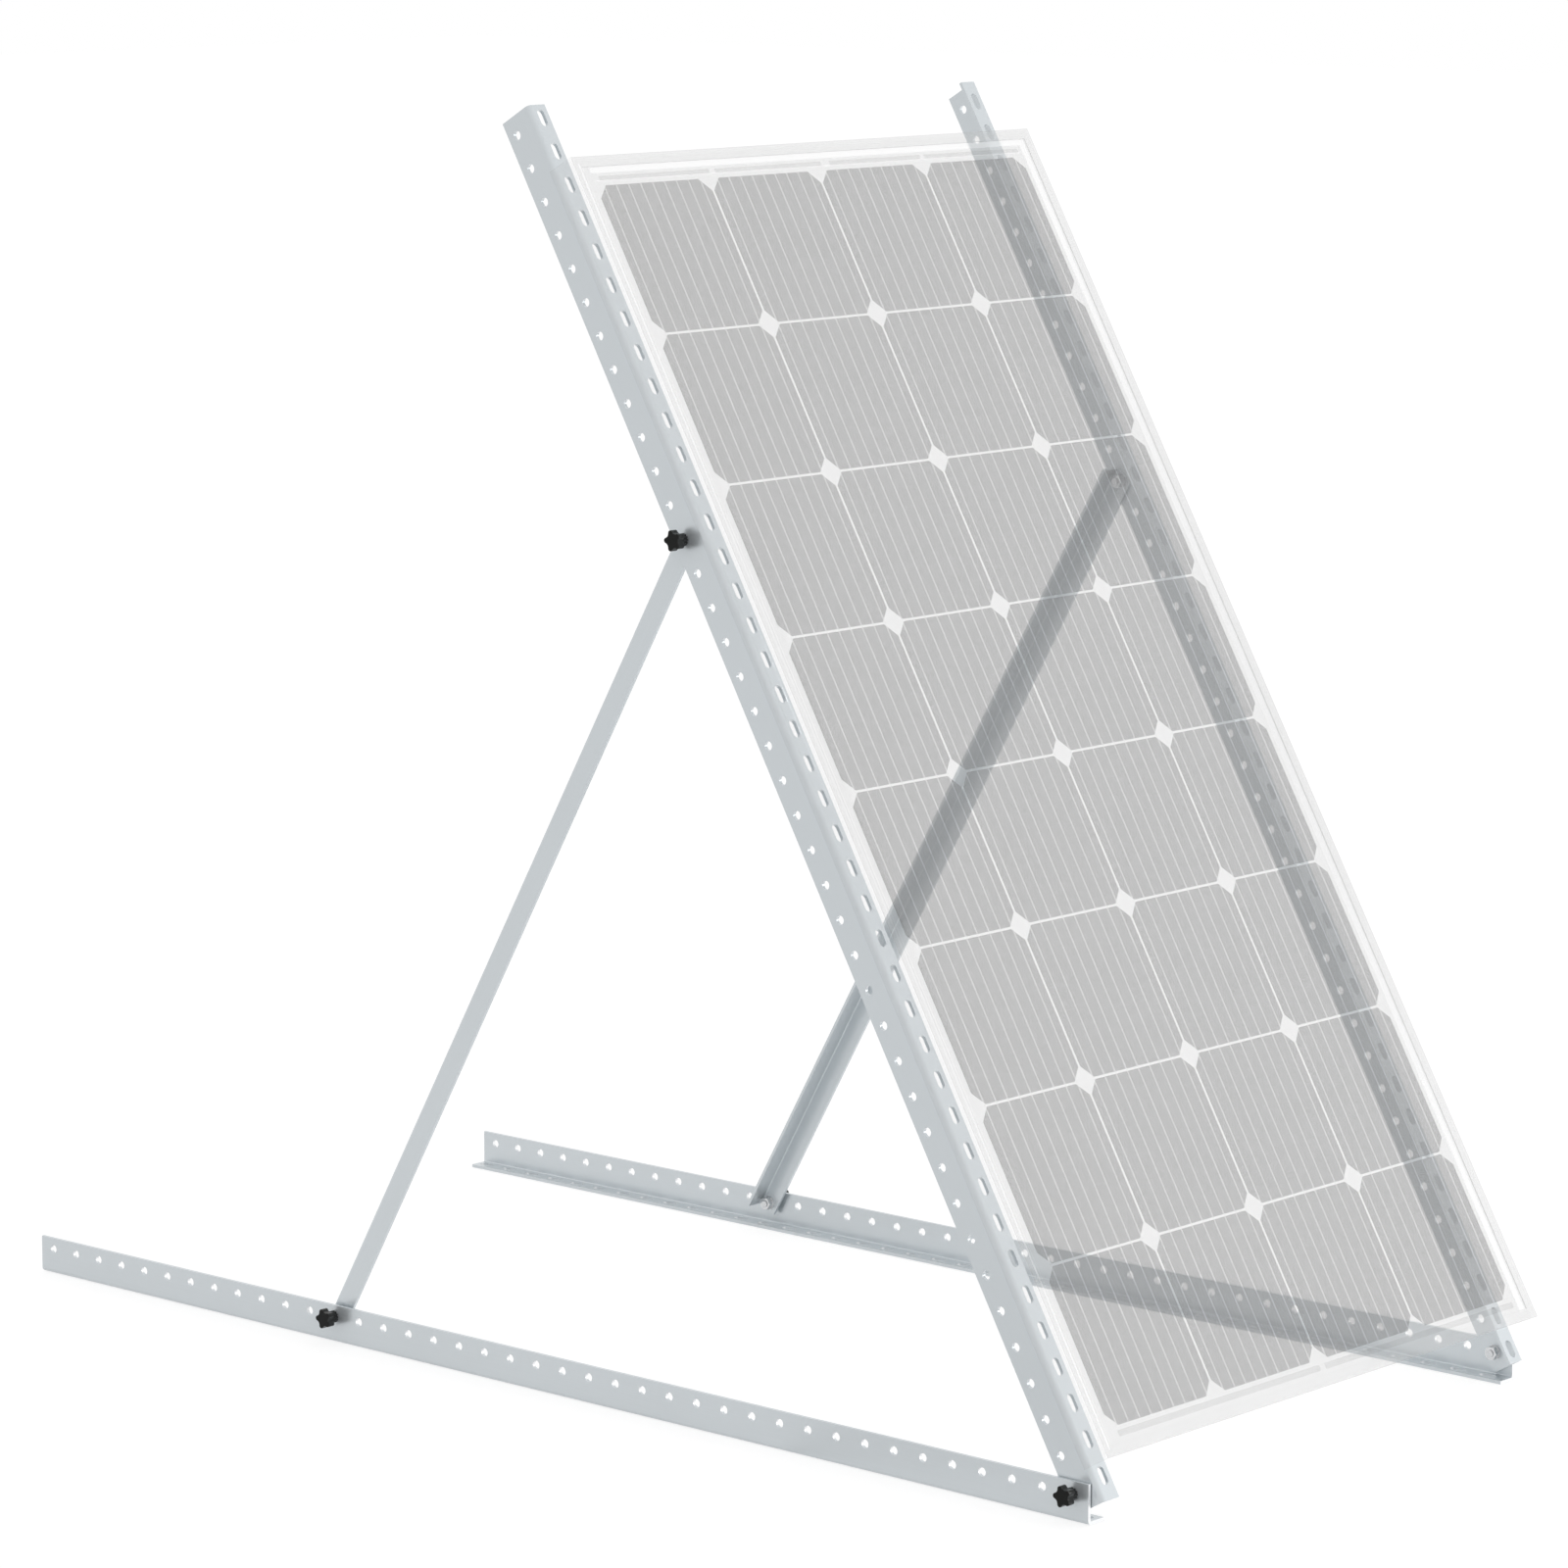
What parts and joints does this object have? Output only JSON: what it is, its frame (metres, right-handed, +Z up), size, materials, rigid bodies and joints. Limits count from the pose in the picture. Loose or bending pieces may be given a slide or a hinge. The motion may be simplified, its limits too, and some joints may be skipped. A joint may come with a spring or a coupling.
{
  "type": "solar panel ground mount",
  "caption": "Perforated base rails, tilt rails and rear struts, clamped with star knobs, hold a framed solar panel tilted above the ground.",
  "frame": {"origin": "middle of the mount's outline on the ground: centre across, centre of the overall length, at the underside of the base rails", "axes": "+X across the mount to its right as seen from the front, +Y from the front to the rear, +Z up"},
  "size_m": [0.5666, 1.1628, 1.0093],
  "materials": {
    "rail_metal": "smooth, bright, cool grey",
    "strut_metal": "smooth, bright, cool grey",
    "fastener_steel": "zinc plated",
    "knob_plastic": "moulded, black",
    "spacer_nylon": "plain nylon",
    "frame_metal": null,
    "panel_glass": null,
    "cell_wafer": null,
    "backsheet_white": null
  },
  "bodies": {
    "mount": {"base_rail_left": "rail_metal", "base_rail_right": "rail_metal", "panel_backsheet": "backsheet_white", "panel_cells": "cell_wafer", "panel_frame_bottom": "frame_metal", "panel_frame_left": "frame_metal", "panel_frame_right": "frame_metal", "panel_frame_top": "frame_metal", "panel_glass": "panel_glass", "pivot_nut_left": "fastener_steel", "pivot_nut_right": "fastener_steel", "pivot_spacer_left": "spacer_nylon", "pivot_spacer_right": "spacer_nylon", "pivot_washer_left": "fastener_steel", "pivot_washer_right": "fastener_steel", "strut_foot_nut_left": "fastener_steel", "strut_foot_nut_right": "fastener_steel", "strut_foot_spacer_left": "fastener_steel", "strut_foot_spacer_right": "fastener_steel", "strut_foot_washer_left": "fastener_steel", "strut_foot_washer_right": "fastener_steel", "strut_left": "strut_metal", "strut_right": "strut_metal", "strut_top_nut_left": "fastener_steel", "strut_top_nut_right": "fastener_steel", "strut_top_washer_left": "fastener_steel", "strut_top_washer_right": "fastener_steel", "tilt_rail_left": "rail_metal", "tilt_rail_right": "rail_metal"},
    "pivot_screw_left": {"pivot_knob_left": "knob_plastic", "pivot_stud_left": "fastener_steel"},
    "pivot_screw_right": {"pivot_knob_right": "knob_plastic", "pivot_stud_right": "fastener_steel"},
    "strut_top_screw_left": {"strut_top_knob_left": "knob_plastic", "strut_top_stud_left": "fastener_steel"},
    "strut_top_screw_right": {"strut_top_knob_right": "knob_plastic", "strut_top_stud_right": "fastener_steel"},
    "strut_foot_screw_left": {"strut_foot_knob_left": "knob_plastic", "strut_foot_stud_left": "fastener_steel"},
    "strut_foot_screw_right": {"strut_foot_knob_right": "knob_plastic", "strut_foot_stud_right": "fastener_steel"}
  },
  "joints": [
    {"name": "pivot_knob_left_turn", "type": "hinge", "parent": "mount", "child": "pivot_screw_left", "pos_m": [-0.27025, -0.54686, 0.0215], "axis": [-1, 0, 0], "range_deg": [0, 180]},
    {"name": "pivot_knob_right_turn", "type": "hinge", "parent": "mount", "child": "pivot_screw_right", "pos_m": [0.27025, -0.54686, 0.0215], "axis": [1, 0, 0], "range_deg": [0, 180]},
    {"name": "strut_top_knob_left_turn", "type": "hinge", "parent": "mount", "child": "strut_top_screw_left", "pos_m": [-0.26675, -0.16143, 0.68908], "axis": [-1, 0, 0], "range_deg": [0, 180]},
    {"name": "strut_top_knob_right_turn", "type": "hinge", "parent": "mount", "child": "strut_top_screw_right", "pos_m": [0.26675, -0.16143, 0.68908], "axis": [1, 0, 0], "range_deg": [0, 180]},
    {"name": "strut_foot_knob_left_turn", "type": "hinge", "parent": "mount", "child": "strut_foot_screw_left", "pos_m": [-0.27025, 0.22399, 0.0215], "axis": [-1, 0, 0], "range_deg": [0, 180]},
    {"name": "strut_foot_knob_right_turn", "type": "hinge", "parent": "mount", "child": "strut_foot_screw_right", "pos_m": [0.27025, 0.22399, 0.0215], "axis": [1, 0, 0], "range_deg": [0, 180]}
  ]
}
